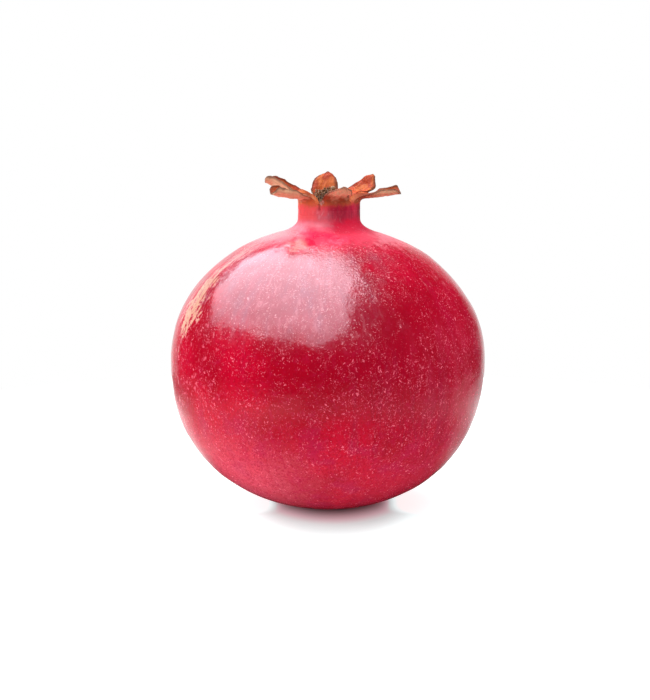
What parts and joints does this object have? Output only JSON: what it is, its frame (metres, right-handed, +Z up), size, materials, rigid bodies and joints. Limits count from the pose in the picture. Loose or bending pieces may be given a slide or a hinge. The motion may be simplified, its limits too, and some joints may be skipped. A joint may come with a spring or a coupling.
{
  "type": "pomegranate",
  "caption": "Whole ripe pomegranate, as picked: round red rind with a short neck, a crown of dried brown sepals and a tuft of dried stamens; it stands on its stem end.",
  "frame": {"origin": "on the surface that the fruit stands on, under the middle of its box", "axes": "+Z up, from the stem end to the crown; the picture is taken from -Y, with +X to its right"},
  "size_m": [0.0956, 0.0944, 0.1014],
  "materials": {
    "rind": "satin",
    "dried_calyx": "matte",
    "dried_stamens": "matte",
    "stem_wood": "matte"
  },
  "bodies": {
    "root": {"rind": "rind", "calyx": "dried_calyx", "stamens": "dried_stamens", "stem_stub": "stem_wood"}
  },
  "joints": []
}
